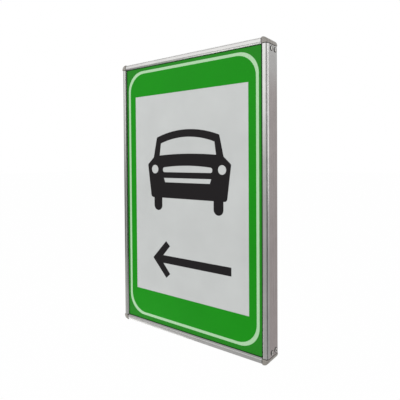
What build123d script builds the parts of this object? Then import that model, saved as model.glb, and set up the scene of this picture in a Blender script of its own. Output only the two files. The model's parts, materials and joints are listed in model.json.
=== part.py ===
from build123d import *
import os
from math import asin, atan, cos, degrees, sin

# Overall size over the corner caps, in millimetres: X across, Y from front to back, Z up.
# The origin is the centre of the mounting plane at the back, and the face looks along -Y.
SIGN_WIDTH = 500.0
SIGN_HEIGHT = 800.0
SIGN_DEPTH = 55.0

# Frame rail section, measured inwards from the caps' outer faces and back from the front
CAP_PROUD = 0.5
RAIL_WALL = 1.8
RAIL_BACK_CHAMFER = 0.8
SHOULDER_R = 43.0
SHOULDER_DEPTH = 13.0
RIDGE_TIP_DEPTH = 3.8
SLOT_OUT = 1.9
SLOT_IN = 2.6
SLOT_DEPTH = 5.6
SLOT_WALL = 1.2
LEDGE_REACH = 14.0
LEDGE_T = 1.5
FRONT_LEDGE_DEPTH = 10.1
REAR_LEDGE_DEPTH = 47.5
RAIL_JOINT_GAP = 0.3

# Hinge of a snap rail: a round bead turning in a socket along the rail
HINGE_IN = 5.5
HINGE_DEPTH = 2.2
BEAD_R = 1.9
SOCKET_R = 2.0
SOCKET_WALL = 1.0
HOOK_RISE = 0.4
RIM_DROP = 0.1

# Snap rail: a nearly flat lip that bends back at its brow, down a slope to a foot on the face
LIP_CREST_IN = 11.45
LIP_R = 60.0
LIP_T = 1.3
LIP_EDGE_IN = 16.5
LIP_EDGE_DEPTH = 4.1
BROW_IN = 13.4
BEND_IN = 12.9
FOOT_IN = 15.2
FOOT_DEPTH = 4.4
SNAP_END_GAP = 1.4

# Leaf springs, bent from strip, under the hinge bead
SPRING_LENGTH = 22.0
SPRING_FOOT = 3.0
SPRING_CROWN = 6.0
SPRING_WIDTH = 3.0
SPRING_T = 0.4
SPRING_BEAD_GAP = 0.08
SPRING_WINDOW = 14.5
SPRING_WINDOW_WIDTH = 3.4
SPRING_PLACES = {"long": (-220.0, 220.0), "short": (-130.0, 130.0)}

# Corner caps with two forked legs each
CAP_SIZE = 15.5
CAP_CORNER_R = 14.0
CAP_FRONT_CHAMFER = 1.0
CAP_BACK_WALL = 2.4
LEG_LENGTH = 36.0
LEG_T = 6.0
LEG_PLAY = 0.1
LEG_SIDE_PLAY = 0.2
FORK_LENGTH = 30.0
FORK_WIDTH = 9.0
FORK_CHAMFER = 2.0

# Pan-head screws, with few sides because they repeat
CORNER_SCREW_FROM_END = 26.0
CORNER_SCREW_DEPTHS = (24.0, 44.0)
CORNER_SCREW = {"head_r": 4.6, "head_h": 2.2, "shank_r": 2.0, "length": 8.0}
PLATE_SCREW = {"head_r": 3.5, "head_h": 2.0, "shank_r": 1.5, "length": 7.0}
DRIVER_SCREW = {"head_r": 2.8, "head_h": 1.6, "shank_r": 1.4, "length": 3.5}
HEAD_SIDES = 8
HEAD_TAPER = 30.0
SHANK_SIDES = 8
HOLE_PLAY = 0.08
HOLE_OVERRUN = 2.0
HEX_SIDES = 6

# Face panel, gasket and films
PANEL_IN = 9.2
PANEL_T = 3.0
PANEL_DEPTH = 5.1
FILM_T = 0.3
FILM_EDGE = 0.8
POCKET_PLAY = 0.2
GASKET_IN = 9.5
GASKET_OUT = 13.7

# Face graphics: border line, white field, car and arrow, measured from the face's centre
BORDER_WIDTH = 450.4
BORDER_HEIGHT = 743.2
BORDER_Z = 1.6
BORDER_LINE = 8.2
BORDER_R = 58.0
BORDER_INNER_R = 55.5
FIELD_WIDTH = 391.8
FIELD_HEIGHT = 586.2
FIELD_Z = 3.1

CAR_ROOF_TOP = 189.1
CAR_ROOF_HALF = 109.4
CAR_ROOF_EDGE = 169.8
CAR_WAIST_HALF = 122.4
CAR_WAIST_Z = 111.8
CAR_SHOULDER_HALF = 145.4
CAR_SHOULDER_Z = 91.2
CAR_SILL_HALF = 132.3
CAR_SILL_Z = -6.3
CAR_ROOF_R = 5.0
CAR_SHOULDER_R = 6.0
CAR_SILL_R = 9.0
WHEEL_IN = 90.4
WHEEL_WIDTH = 30.8
WHEEL_BOTTOM = -43.8
WINDOW_TOP = 168.2
WINDOW_EDGE_TOP = 152.0
WINDOW_EDGE_HALF = 94.1
WINDOW_SILL_HALF = 99.1
WINDOW_SILL_Z = 117.0
WINDOW_SILL_CROWN = 121.0
LAMP_X = 117.6
LAMP_Z = 76.9
LAMP_R = 12.7
GRILLE_HALF = 86.9
GRILLE_TOP = 87.4
GRILLE_EDGE_TOP = 82.0
GRILLE_BOTTOM = 68.3
GRILLE_END_R = 6.0
SLOT_TOP_HALF = 83.3
SLOT_BOTTOM_HALF = 78.8
SLOT_TOP = 51.8
SLOT_BOTTOM = 39.0

ARROW_Z = -186.8
ARROW_TIP_X = -127.5
ARROW_END_X = 144.4
ARROW_SHAFT = 22.8
BARB_OUTER = (-77.0, 53.8)
BARB_INNER = (-62.5, 40.6)
BARB_ROOT_X = -88.5

# Back plate with its seal, screws and mounting bars
SEAL_IN = 3.2
SEAL_OUT = 9.2
SEAL_T = 1.0
PLATE_IN = 2.7
PLATE_T = 1.5
PLATE_CORNER_R = 11.5
PLATE_SCREW_IN = 11.2
PLATE_SCREWS_SIDE = (-320.0, 0.0, 320.0)
PLATE_SCREWS_END = (0.0,)
MOUNT_X = 150.0
MOUNT_Z = 250.0
MOUNT_HOLE_R = 4.25
MOUNT_BAR_LENGTH = 470.0
MOUNT_BAR_HEIGHT = 40.0
NUT_ACROSS_FLATS = 13.0
NUT_HEIGHT = 6.5
NUT_BORE_R = 4.0
NUT_BORE_SIDES = 8
RIVET_X = (-200.0, 0.0, 200.0)
RIVET_R = 2.0
RIVET_HEAD_R = 4.0
RIVET_HEAD_H = 1.3
RIVET_SIDES = 6

# Light inside: reflector sheet and bars of lensed diodes
REFLECTOR_IN = 15.5
REFLECTOR_T = 0.6
NUT_CUTOUT_PLAY = 2.0
BAR_Z = (310.0, 192.0, 74.0, -44.0, -162.0, -280.0)
BAR_LENGTH = 452.0
BAR_HEIGHT = 14.0
BAR_T = 1.6
LENS_COUNT = 4
LENS_PITCH = 108.0
LENS_SIDES = 6
LENS_BASE_R = 6.8
LENS_TOP_R = 4.6
LENS_H = 5.2

# Power driver, terminal block and wires
DRIVER_X = 10.0
DRIVER_Z = -341.0
DRIVER_LENGTH = 130.0
DRIVER_HEIGHT = 42.0
DRIVER_T = 25.0
DRIVER_WALL = 2.0
FIN_COUNT = 5
FIN_WIDTH = 3.0
FIN_GROOVE = 1.2
DRIVER_CAP_T = 6.0
EAR_LENGTH = 10.0
EAR_T = 1.6
TERMINAL_X = -118.0
TERMINAL_Z = -358.0
TERMINAL_LENGTH = 36.0
TERMINAL_HEIGHT = 20.0
TERMINAL_T = 15.0
POLE_COUNT = 3
POLE_PITCH = 11.0
POLE_WELL = 5.0
POLE_WIRE_WAY = 4.2
WIRE_WAY_BACK = 6.0
WIRE_R = 1.2
WIRE_SIDES = 6
WIRE_XS = (216.5, 221.5)
WIRE_DROP = 5.0
WIRE_BEND_R = 25.0
LEAD_BEND_R = 12.0
LEAD_DEPTH_IN_BLOCK = 6.0

# Cable gland through the bottom rail
GLAND_X = -118.0
GLAND_SIDES = 12
GLAND_DEPTH = 38.0
GLAND_THREAD_R = 6.0
GLAND_FLATS = 15.0
GLAND_BORE_R = 4.0
GLAND_WASHER_R = 8.0
GLAND_WASHER_T = 0.8
GLAND_HEX_H = 3.2
GLAND_STEM_R = 5.4
GLAND_STEM_H = 3.0
GLAND_STEM_IN = 9.0
GLAND_LOCKNUT_T = 4.5
GLAND_NUT_H = 8.6
GLAND_NUT_HEX_H = 5.4
GLAND_DOME_TAPER = 35.0
GLAND_EXIT_R = 3.6
SEAL_RUBBER_R = 4.4
CABLE_R = 3.1
SEAL_RUBBER_H = 4.4

# Sides of the frame: turn from the right side, distance to the caps' face, half of the run
SIDES = {
    "right": (0, SIGN_WIDTH / 2, SIGN_HEIGHT / 2, "long"),
    "top": (90, SIGN_HEIGHT / 2, SIGN_WIDTH / 2, "short"),
    "left": (180, SIGN_WIDTH / 2, SIGN_HEIGHT / 2, "long"),
    "bottom": (270, SIGN_HEIGHT / 2, SIGN_WIDTH / 2, "short"),
}
CORNERS = {
    "top_right": (0, 1, 1),
    "top_left": (90, -1, 1),
    "bottom_left": (180, -1, -1),
    "bottom_right": (270, 1, -1),
}

# Depths worked out from the stack of pieces
SEAL_DEPTH = REAR_LEDGE_DEPTH + LEDGE_T
PLATE_DEPTH = SEAL_DEPTH + SEAL_T
PLATE_BACK = PLATE_DEPTH + PLATE_T
REFLECTOR_DEPTH = PLATE_DEPTH - REFLECTOR_T
BAR_DEPTH = REFLECTOR_DEPTH - BAR_T
WALL_IN = CAP_PROUD + RAIL_WALL


def at_depth(depth):
    """Y of a distance back from the front plane"""
    return depth - SIGN_DEPTH


def side_place(side):
    """Frame of one side: X outwards from the caps' face, Y to the back, Z along the rail"""
    turn, reach, _, _ = SIDES[side]
    return Rot(0, -turn, 0) * Pos(reach, 0, 0)


def group(shapes):
    """Separate solids kept together as one node"""
    return Compound([solid for shape in shapes for solid in shape.solids()])


def flat_rect(x_low, y_low, x_high, y_high):
    """Rectangle by its corners"""
    middle = Pos((x_low + x_high) / 2, (y_low + y_high) / 2)
    return middle * Rectangle(x_high - x_low, y_high - y_low)


def block(low, high):
    """Box by its corners"""
    size = [b - a for a, b in zip(low, high)]
    middle = [(a + b) / 2 for a, b in zip(low, high)]
    return Pos(*middle) * Box(*size)


def sheet(face, depth, thickness):
    """Plate cut to an outline seen from the front, X right and Z up"""
    # The plane's normal points to the front, so the plate grows forwards from its back
    plane = Plane(origin=(0, at_depth(depth + thickness), 0), x_dir=(1, 0, 0), z_dir=(0, -1, 0))
    return extrude(plane * face, amount=thickness)


def prism(sides, flat_r, low, high):
    """Prism on the Z axis between two heights, with its flats at a radius"""
    outline = RegularPolygon(flat_r, sides, major_radius=False)
    return Pos(0, 0, low) * extrude(outline, amount=high - low)


def cut_at(shape, places, cutter):
    """Shape cut with the same cutter at each place"""
    for place in places:
        shape -= place * cutter
    return shape


def screw(size):
    """Pan-head screw: head on +Z, shank along -Z"""
    head = extrude(RegularPolygon(size["head_r"], HEAD_SIDES), amount=size["head_h"], taper=HEAD_TAPER)
    return head + prism(SHANK_SIDES, size["shank_r"], -size["length"], 0)


def screw_hole(size):
    """Cutter for a screw's shank, both ways from the head's seat"""
    reach = size["length"] + HOLE_OVERRUN
    return prism(SHANK_SIDES, size["shank_r"] + HOLE_PLAY, -reach, reach)


# Frame rails and snap rails

def rail_section():
    """Section of a frame rail: side wall, rounded shoulder, slot, hinge socket and two ledges"""
    face_x = -CAP_PROUD
    back_y = at_depth(SIGN_DEPTH)
    wall = make_face(Polyline(
        (face_x, at_depth(SHOULDER_DEPTH)),
        (face_x, back_y - RAIL_BACK_CHAMFER),
        (face_x - RAIL_BACK_CHAMFER, back_y),
        (-WALL_IN, back_y),
        (-WALL_IN, at_depth(SHOULDER_DEPTH)),
        close=True,
    ))
    sweep = degrees(asin((SHOULDER_DEPTH - RIDGE_TIP_DEPTH) / SHOULDER_R))
    arc = CenterArc((face_x - SHOULDER_R, at_depth(SHOULDER_DEPTH)), SHOULDER_R, 0, -sweep)
    slot_floor_y = at_depth(SLOT_DEPTH)
    inner = Polyline(
        arc @ 1,
        (-SLOT_OUT, (arc @ 1).Y),
        (-SLOT_OUT, slot_floor_y),
        (-WALL_IN, slot_floor_y),
        (-WALL_IN, (arc @ 0).Y),
        arc @ 0,
    )
    shoulder = make_face(arc + inner)

    # The socket is drawn about the hinge; a slot parts its outer wall from the shoulder
    outer_r = SOCKET_R + SOCKET_WALL
    slot_x = HINGE_IN - SLOT_IN
    slot_floor = SLOT_DEPTH - HINGE_DEPTH
    socket = Circle(outer_r) + flat_rect(slot_x - SLOT_WALL, 0, slot_x, slot_floor + SLOT_WALL)
    socket += flat_rect(slot_x - SLOT_WALL, slot_floor, HINGE_IN - WALL_IN, slot_floor + SLOT_WALL)
    socket -= Circle(SOCKET_R)
    socket -= flat_rect(-outer_r, -outer_r, 0, -HOOK_RISE)
    socket -= flat_rect(0, -outer_r, outer_r, RIM_DROP)
    socket = Pos(-HINGE_IN, at_depth(HINGE_DEPTH)) * socket

    ledges = [
        flat_rect(-LEDGE_REACH, at_depth(depth), -WALL_IN, at_depth(depth + LEDGE_T))
        for depth in (FRONT_LEDGE_DEPTH, REAR_LEDGE_DEPTH)
    ]
    return wall + shoulder + socket + ledges[0] + ledges[1]


def corner_screw_places(side):
    """Axes of the screws near both ends of a rail, head outwards"""
    _, _, half_run, _ = SIDES[side]
    along = half_run - CORNER_SCREW_FROM_END
    return [
        side_place(side) * Pos(-CAP_PROUD, at_depth(depth), end * along) * Rot(0, 90, 0)
        for end in (-1, 1)
        for depth in CORNER_SCREW_DEPTHS
    ]


def plate_screw_places():
    """Axes of the back plate's screws, head to the back"""
    side_x = SIGN_WIDTH / 2 - PLATE_SCREW_IN
    end_z = SIGN_HEIGHT / 2 - PLATE_SCREW_IN
    spots = [(sign * side_x, z) for sign in (-1, 1) for z in PLATE_SCREWS_SIDE]
    spots += [(x, sign * end_z) for sign in (-1, 1) for x in PLATE_SCREWS_END]
    return [Pos(x, at_depth(PLATE_BACK), z) * Rot(-90, 0, 0) for x, z in spots]


def frame_rail(side):
    """One frame rail with its screw holes and spring windows"""
    _, _, half_run, length_kind = SIDES[side]
    half = half_run - CAP_SIZE - RAIL_JOINT_GAP
    rail = extrude(rail_section(), amount=half, both=True)
    window_y = at_depth(HINGE_DEPTH + SOCKET_R + SOCKET_WALL / 2)
    for along in SPRING_PLACES[length_kind]:
        window = Box(SPRING_WINDOW_WIDTH, SOCKET_WALL * 2, SPRING_WINDOW)
        rail -= Pos(-HINGE_IN, window_y, along) * window
    rail = side_place(side) * rail
    rail = cut_at(rail, corner_screw_places(side), screw_hole(CORNER_SCREW))
    rail = cut_at(rail, plate_screw_places(), screw_hole(PLATE_SCREW))
    if side == "bottom":
        rail -= gland_place() * rod(GLAND_THREAD_R + HOLE_PLAY, -WALL_IN, WALL_IN)
    return rail


def snap_section():
    """Section of a snap rail: hinge bead, and a lip that bends down to a foot on the face"""
    bead = Pos(-HINGE_IN, at_depth(HINGE_DEPTH)) * Circle(BEAD_R)
    centre = (-LIP_CREST_IN, at_depth(LIP_R))

    # The lip's front runs out on the bead, where both arcs stop
    stop = -90 + degrees(asin((LIP_CREST_IN - HINGE_IN) / (LIP_R - BEAD_R)))

    def lip_arc(radius, inner_edge):
        start = -90 - degrees(asin((inner_edge - LIP_CREST_IN) / radius))
        return CenterArc(centre, radius, start, stop - start)

    top = lip_arc(LIP_R, BROW_IN)
    under = lip_arc(LIP_R - LIP_T, BEND_IN)
    edge = Polyline(
        under @ 0,
        (-FOOT_IN, at_depth(FOOT_DEPTH)),
        (-LIP_EDGE_IN, at_depth(FOOT_DEPTH)),
        (-LIP_EDGE_IN, at_depth(LIP_EDGE_DEPTH)),
        top @ 0,
    )
    return bead + make_face(top + Line(top @ 1, under @ 1) + under + edge)


def snap_rail(side):
    """Front rail that swings open on its bead and clamps the face panel"""
    _, _, half_run, _ = SIDES[side]
    half = half_run - CAP_SIZE - SNAP_END_GAP
    return side_place(side) * extrude(snap_section(), amount=half, both=True)


def leaf_spring():
    """Bent strip: feet on the front ledge, crown just behind the hinge bead"""
    crown = HINGE_DEPTH + BEAD_R + SPRING_BEAD_GAP + SPRING_T
    half = SPRING_LENGTH / 2
    # Drawn with the rail's run as X and depth as Y
    right = [
        (SPRING_CROWN / 2, at_depth(crown)),
        (half - SPRING_FOOT, at_depth(FRONT_LEDGE_DEPTH)),
        (half, at_depth(FRONT_LEDGE_DEPTH)),
    ]
    under = [(-x, y) for x, y in reversed(right)] + right
    over = [(x, y - SPRING_T) for x, y in reversed(under)]
    plane = Plane(origin=(-HINGE_IN, 0, 0), x_dir=(0, 0, -1), z_dir=(1, 0, 0))
    strip = plane * make_face(Polyline(*under, *over, close=True))
    return extrude(strip, amount=SPRING_WIDTH / 2, both=True)


def snap_springs(side):
    """All leaf springs of one side"""
    length_kind = SIDES[side][3]
    spring = leaf_spring()
    return group([side_place(side) * Pos(0, 0, along) * spring for along in SPRING_PLACES[length_kind]])


# Corner caps

def cap_leg():
    """Leg that fills the rail beside its outer wall, forked between the two screws"""
    top = -WALL_IN - LEG_PLAY
    low_y = at_depth(FRONT_LEDGE_DEPTH + LEDGE_T + LEG_SIDE_PLAY)
    high_y = at_depth(REAR_LEDGE_DEPTH - LEG_SIDE_PLAY)
    end_z = -CAP_SIZE - LEG_LENGTH
    leg = block((top - LEG_T, low_y, end_z), (top, high_y, -CAP_SIZE))
    tip_edges = leg.edges().filter_by(Axis.Y).group_by(Axis.Z)[0]
    leg = chamfer(tip_edges, FORK_CHAMFER)
    fork_y = at_depth(sum(CORNER_SCREW_DEPTHS) / 2)
    fork = Pos(top - LEG_T / 2, fork_y, end_z + FORK_LENGTH / 2) * Box(LEG_T * 2, FORK_WIDTH, FORK_LENGTH)
    holes = [
        Pos(top, at_depth(depth), -CORNER_SCREW_FROM_END) * Rot(0, 90, 0)
        for depth in CORNER_SCREW_DEPTHS
    ]
    return cut_at(leg - fork, holes, screw_hole(CORNER_SCREW))


def corner_cap(corner):
    """Cap with a rounded outer corner, pockets for panel and back plate, and two legs"""
    turn, sign_x, sign_z = CORNERS[corner]
    cap = block((-CAP_SIZE, -SIGN_DEPTH, -CAP_SIZE), (0, 0, 0))
    outer_edge = cap.edges().filter_by(Axis.Y).sort_by(lambda edge: edge.center().X + edge.center().Z)[-1]
    cap = fillet(outer_edge, CAP_CORNER_R)
    front_edges = cap.faces().sort_by(Axis.Y)[0].edges()
    # The two edges that meet the rails stay sharp
    rim = front_edges.sort_by(lambda edge: edge.center().X + edge.center().Z)[2:]
    cap = chamfer(rim, CAP_FRONT_CHAMFER)

    pocket_edge = -PANEL_IN + POCKET_PLAY
    front_pocket_y = at_depth(PANEL_DEPTH - FILM_T - POCKET_PLAY)
    cap -= block(
        (-CAP_SIZE, front_pocket_y, -CAP_SIZE),
        (pocket_edge, at_depth(FRONT_LEDGE_DEPTH), pocket_edge),
    )
    rear_pocket = block(
        (-CAP_SIZE, at_depth(SEAL_DEPTH), -CAP_SIZE),
        (-CAP_BACK_WALL, HOLE_OVERRUN, -CAP_BACK_WALL),
    )
    pocket_corner = rear_pocket.edges().filter_by(Axis.Y).sort_by(
        lambda edge: edge.center().X + edge.center().Z)[-1]
    cap -= fillet(pocket_corner, CAP_CORNER_R - CAP_BACK_WALL)

    down_leg = cap_leg()
    across_leg = mirror(down_leg, about=Plane(origin=(0, 0, 0), z_dir=(1, 0, -1)))
    cap = cap + down_leg + across_leg
    place = Pos(sign_x * SIGN_WIDTH / 2, 0, sign_z * SIGN_HEIGHT / 2) * Rot(0, -turn, 0)
    return place * cap


# Face

def face_panel():
    """Opal sheet behind the snap rails"""
    outline = Rectangle(SIGN_WIDTH - 2 * PANEL_IN, SIGN_HEIGHT - 2 * PANEL_IN)
    return sheet(outline, PANEL_DEPTH, PANEL_T)


def face_gasket():
    """Foam frame between the panel and the ledges"""
    outline = Rectangle(SIGN_WIDTH - 2 * GASKET_IN, SIGN_HEIGHT - 2 * GASKET_IN)
    outline -= Rectangle(SIGN_WIDTH - 2 * GASKET_OUT, SIGN_HEIGHT - 2 * GASKET_OUT)
    back_of_panel = PANEL_DEPTH + PANEL_T
    return sheet(outline, back_of_panel, FRONT_LEDGE_DEPTH - back_of_panel)


def film(outline):
    """Film laid on the front of the panel"""
    return sheet(outline, PANEL_DEPTH - FILM_T, FILM_T)


def green_film():
    """Two film frames, parted by the border line"""
    edge = 2 * (PANEL_IN + FILM_EDGE)
    outer = Rectangle(SIGN_WIDTH - edge, SIGN_HEIGHT - edge)
    outer -= Pos(0, BORDER_Z) * RectangleRounded(BORDER_WIDTH, BORDER_HEIGHT, BORDER_R)
    line = 2 * BORDER_LINE
    inner_edge = RectangleRounded(BORDER_WIDTH - line, BORDER_HEIGHT - line, BORDER_INNER_R)
    inner = Pos(0, BORDER_Z) * inner_edge
    inner -= Pos(0, FIELD_Z) * Rectangle(FIELD_WIDTH, FIELD_HEIGHT)
    return group([film(outer), film(inner)])


def car_outline():
    """Half of the car's body outline mirrored about its middle, with wheels and openings"""
    roof = ThreePointArc((0, CAR_ROOF_TOP), *roof_points())
    body = make_face(roof + Polyline(
        (CAR_ROOF_HALF, CAR_ROOF_EDGE),
        (CAR_WAIST_HALF, CAR_WAIST_Z),
        (CAR_SHOULDER_HALF, CAR_SHOULDER_Z),
        (CAR_SILL_HALF, CAR_SILL_Z),
        (0, CAR_SILL_Z),
        (0, CAR_ROOF_TOP),
    ))
    corners = body.vertices()
    body = fillet(nearest(corners, CAR_ROOF_HALF, CAR_ROOF_EDGE), CAR_ROOF_R)
    body = fillet(nearest(body.vertices(), CAR_SHOULDER_HALF, CAR_SHOULDER_Z), CAR_SHOULDER_R)
    body = fillet(nearest(body.vertices(), CAR_SILL_HALF, CAR_SILL_Z), CAR_SILL_R)
    wheel_r = WHEEL_WIDTH / 2
    wheel_x = WHEEL_IN + wheel_r
    wheel = flat_rect(WHEEL_IN, WHEEL_BOTTOM + wheel_r, WHEEL_IN + WHEEL_WIDTH, CAR_SILL_Z + CAR_SILL_R)
    wheel += Pos(wheel_x, WHEEL_BOTTOM + wheel_r) * Circle(wheel_r)
    half = body + wheel - Pos(LAMP_X, LAMP_Z) * Circle(LAMP_R)
    return half + mirror(half, about=Plane.YZ) - car_window() - car_grille() - car_slot()


def roof_points():
    """Middle and end of the right half of the roof's arc"""
    drop = CAR_ROOF_TOP - CAR_ROOF_EDGE
    radius = (CAR_ROOF_HALF ** 2 + drop ** 2) / (2 * drop)
    half_angle = asin(CAR_ROOF_HALF / radius) / 2
    middle = (radius * sin(half_angle), CAR_ROOF_TOP - radius * (1 - cos(half_angle)))
    return middle, (CAR_ROOF_HALF, CAR_ROOF_EDGE)


def nearest(corners, x, y):
    """Corner of a sketch closest to a point"""
    return corners.sort_by_distance((x, y, 0))[0]


def car_window():
    """Windscreen with arched top and sill"""
    top = ThreePointArc(
        (-WINDOW_EDGE_HALF, WINDOW_EDGE_TOP), (0, WINDOW_TOP), (WINDOW_EDGE_HALF, WINDOW_EDGE_TOP))
    sill = ThreePointArc(
        (WINDOW_SILL_HALF, WINDOW_SILL_Z), (0, WINDOW_SILL_CROWN), (-WINDOW_SILL_HALF, WINDOW_SILL_Z))
    return make_face(top + Line(top @ 1, sill @ 0) + sill + Line(sill @ 1, top @ 0))


def car_grille():
    """Upper grille opening: arched top, flat bottom, round ends"""
    top = ThreePointArc((-GRILLE_HALF, GRILLE_EDGE_TOP), (0, GRILLE_TOP), (GRILLE_HALF, GRILLE_EDGE_TOP))
    rest = Polyline(top @ 1, (GRILLE_HALF, GRILLE_BOTTOM), (-GRILLE_HALF, GRILLE_BOTTOM), top @ 0)
    opening = make_face(top + rest)
    return fillet(opening.vertices(), GRILLE_END_R)


def car_slot():
    """Lower grille opening, narrower at the bottom"""
    return make_face(Polyline(
        (-SLOT_TOP_HALF, SLOT_TOP),
        (SLOT_TOP_HALF, SLOT_TOP),
        (SLOT_BOTTOM_HALF, SLOT_BOTTOM),
        (-SLOT_BOTTOM_HALF, SLOT_BOTTOM),
        close=True,
    ))


def arrow_outline():
    """Arrow to the left with an open head"""
    half = ARROW_SHAFT / 2
    upper = [
        (ARROW_END_X, half),
        (BARB_ROOT_X, half),
        BARB_INNER,
        BARB_OUTER,
    ]
    lower = [(x, -z) for x, z in reversed(upper)]
    return Pos(0, ARROW_Z) * make_face(Polyline(*upper, (ARROW_TIP_X, 0), *lower, close=True))


# Back of the sign

def back_seal():
    """Foam frame between the rear ledges and the back plate, outside the screws"""
    outline = RectangleRounded(SIGN_WIDTH - 2 * SEAL_IN, SIGN_HEIGHT - 2 * SEAL_IN, PLATE_CORNER_R)
    outline -= Rectangle(SIGN_WIDTH - 2 * SEAL_OUT, SIGN_HEIGHT - 2 * SEAL_OUT)
    return sheet(outline, SEAL_DEPTH, SEAL_T)


def mount_places():
    """Axes of the four mounting holes, pointing to the back"""
    return [
        Pos(sign_x * MOUNT_X, 0, sign_z * MOUNT_Z) * Rot(-90, 0, 0)
        for sign_x in (-1, 1)
        for sign_z in (-1, 1)
    ]


def rivet_places():
    """Axes of the rivets that hold the mounting bars, head to the front"""
    return [
        Pos(x, at_depth(PLATE_DEPTH), sign_z * MOUNT_Z) * Rot(90, 0, 0)
        for sign_z in (-1, 1)
        for x in RIVET_X
    ]


def rivet_hole():
    """Cutter for a rivet's shank"""
    return prism(RIVET_SIDES, RIVET_R + HOLE_PLAY, -SIGN_DEPTH, SIGN_DEPTH)


def back_plate():
    """Sheet that closes the back, with its screw, rivet and mounting holes"""
    outline = RectangleRounded(SIGN_WIDTH - 2 * PLATE_IN, SIGN_HEIGHT - 2 * PLATE_IN, PLATE_CORNER_R)
    plate = sheet(outline, PLATE_DEPTH, PLATE_T)
    plate = cut_at(plate, plate_screw_places(), screw_hole(PLATE_SCREW))
    plate = cut_at(plate, driver_screw_places(), screw_hole(DRIVER_SCREW))
    plate = cut_at(plate, rivet_places(), rivet_hole())
    mount_hole = prism(NUT_BORE_SIDES, MOUNT_HOLE_R, -SIGN_DEPTH, SIGN_DEPTH)
    return cut_at(plate, mount_places(), mount_hole)


def mount_bar(sign_z):
    """Flat bar across the back plate, flush with the rails' back edges"""
    outline = Pos(0, sign_z * MOUNT_Z) * Rectangle(MOUNT_BAR_LENGTH, MOUNT_BAR_HEIGHT)
    bar = sheet(outline, PLATE_BACK, SIGN_DEPTH - PLATE_BACK)
    bar = cut_at(bar, rivet_places(), rivet_hole())
    return cut_at(bar, mount_places(), Cylinder(MOUNT_HOLE_R, SIGN_DEPTH))


def mount_nuts():
    """Hexagon nuts behind the mounting holes, on the inside of the back plate"""
    back = at_depth(PLATE_DEPTH)
    nut = prism(HEX_SIDES, NUT_ACROSS_FLATS / 2, back - NUT_HEIGHT, back)
    nut -= prism(NUT_BORE_SIDES, NUT_BORE_R, back - NUT_HEIGHT, back)
    return group([place * nut for place in mount_places()])


def mount_rivets():
    """Rivets through back plate and bars"""
    shank = SIGN_DEPTH - PLATE_DEPTH
    rivet = prism(RIVET_SIDES, RIVET_R, -shank, 0) + prism(RIVET_SIDES, RIVET_HEAD_R, 0, RIVET_HEAD_H)
    return group([place * rivet for place in rivet_places()])


# Light and power inside

def reflector_sheet():
    """White sheet on the back plate, cut out round nuts and rivets"""
    outline = Rectangle(SIGN_WIDTH - 2 * REFLECTOR_IN, SIGN_HEIGHT - 2 * REFLECTOR_IN)
    reflector = sheet(outline, REFLECTOR_DEPTH, REFLECTOR_T)
    reflector = cut_at(reflector, driver_screw_places(), screw_hole(DRIVER_SCREW))
    rivet_cutout = prism(RIVET_SIDES, RIVET_HEAD_R + HOLE_PLAY, -SIGN_DEPTH, SIGN_DEPTH)
    reflector = cut_at(reflector, rivet_places(), rivet_cutout)
    nut_cutout = prism(HEX_SIDES, NUT_ACROSS_FLATS / 2 + NUT_CUTOUT_PLAY, -SIGN_DEPTH, SIGN_DEPTH)
    return cut_at(reflector, mount_places(), nut_cutout)


def led_bar(z):
    """Circuit board strip for one row of diodes, stuck to the reflector"""
    return sheet(Pos(0, z) * Rectangle(BAR_LENGTH, BAR_HEIGHT), BAR_DEPTH, BAR_T)


def led_lenses():
    """Flat-topped lens over each diode"""
    taper = degrees(atan((LENS_BASE_R - LENS_TOP_R) / LENS_H))
    lens = extrude(RegularPolygon(LENS_BASE_R, LENS_SIDES), amount=LENS_H, taper=taper)
    first_x = -LENS_PITCH * (LENS_COUNT - 1) / 2
    return group([
        Pos(first_x + number * LENS_PITCH, at_depth(BAR_DEPTH), z) * Rot(90, 0, 0) * lens
        for z in BAR_Z
        for number in range(LENS_COUNT)
    ])


def driver_screw_places():
    """Axes of the screws through the driver's ears, head to the front"""
    ear_x = DRIVER_LENGTH / 2 + DRIVER_CAP_T + EAR_LENGTH / 2
    front = at_depth(REFLECTOR_DEPTH - EAR_T)
    return [Pos(DRIVER_X + sign * ear_x, front, DRIVER_Z) * Rot(90, 0, 0) for sign in (-1, 1)]


def driver_place():
    """Middle of the driver where it stands on the reflector"""
    return Pos(DRIVER_X, at_depth(REFLECTOR_DEPTH), DRIVER_Z)


def driver_case():
    """Extruded case with cooling grooves along its front"""
    section = flat_rect(-DRIVER_T, -DRIVER_HEIGHT / 2, 0, DRIVER_HEIGHT / 2)
    section -= flat_rect(
        -DRIVER_T + DRIVER_WALL + FIN_GROOVE,
        -DRIVER_HEIGHT / 2 + DRIVER_WALL,
        -DRIVER_WALL,
        DRIVER_HEIGHT / 2 - DRIVER_WALL,
    )
    pitch = DRIVER_HEIGHT / (FIN_COUNT + 1)
    for number in range(FIN_COUNT):
        groove_z = (number + 1) * pitch - DRIVER_HEIGHT / 2
        groove = Rectangle(2 * FIN_GROOVE, FIN_WIDTH)
        section -= Pos(-DRIVER_T, groove_z) * groove
    plane = Plane(origin=(0, 0, 0), x_dir=(0, 1, 0), z_dir=(1, 0, 0))
    return driver_place() * extrude(plane * section, amount=DRIVER_LENGTH / 2, both=True)


def driver_cap(sign):
    """End cap with a mounting ear; the wires leave through its outer face"""
    half = DRIVER_LENGTH / 2
    spans = sorted((sign * half, sign * (half + DRIVER_CAP_T)))
    cap = block((spans[0], -DRIVER_T, -DRIVER_HEIGHT / 2), (spans[1], 0, DRIVER_HEIGHT / 2))
    ear_span = sorted((sign * (half + DRIVER_CAP_T), sign * (half + DRIVER_CAP_T + EAR_LENGTH)))
    cap += block((ear_span[0], -EAR_T, -EAR_LENGTH / 2), (ear_span[1], 0, EAR_LENGTH / 2))
    return cut_at(driver_place() * cap, driver_screw_places(), screw_hole(DRIVER_SCREW))


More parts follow.
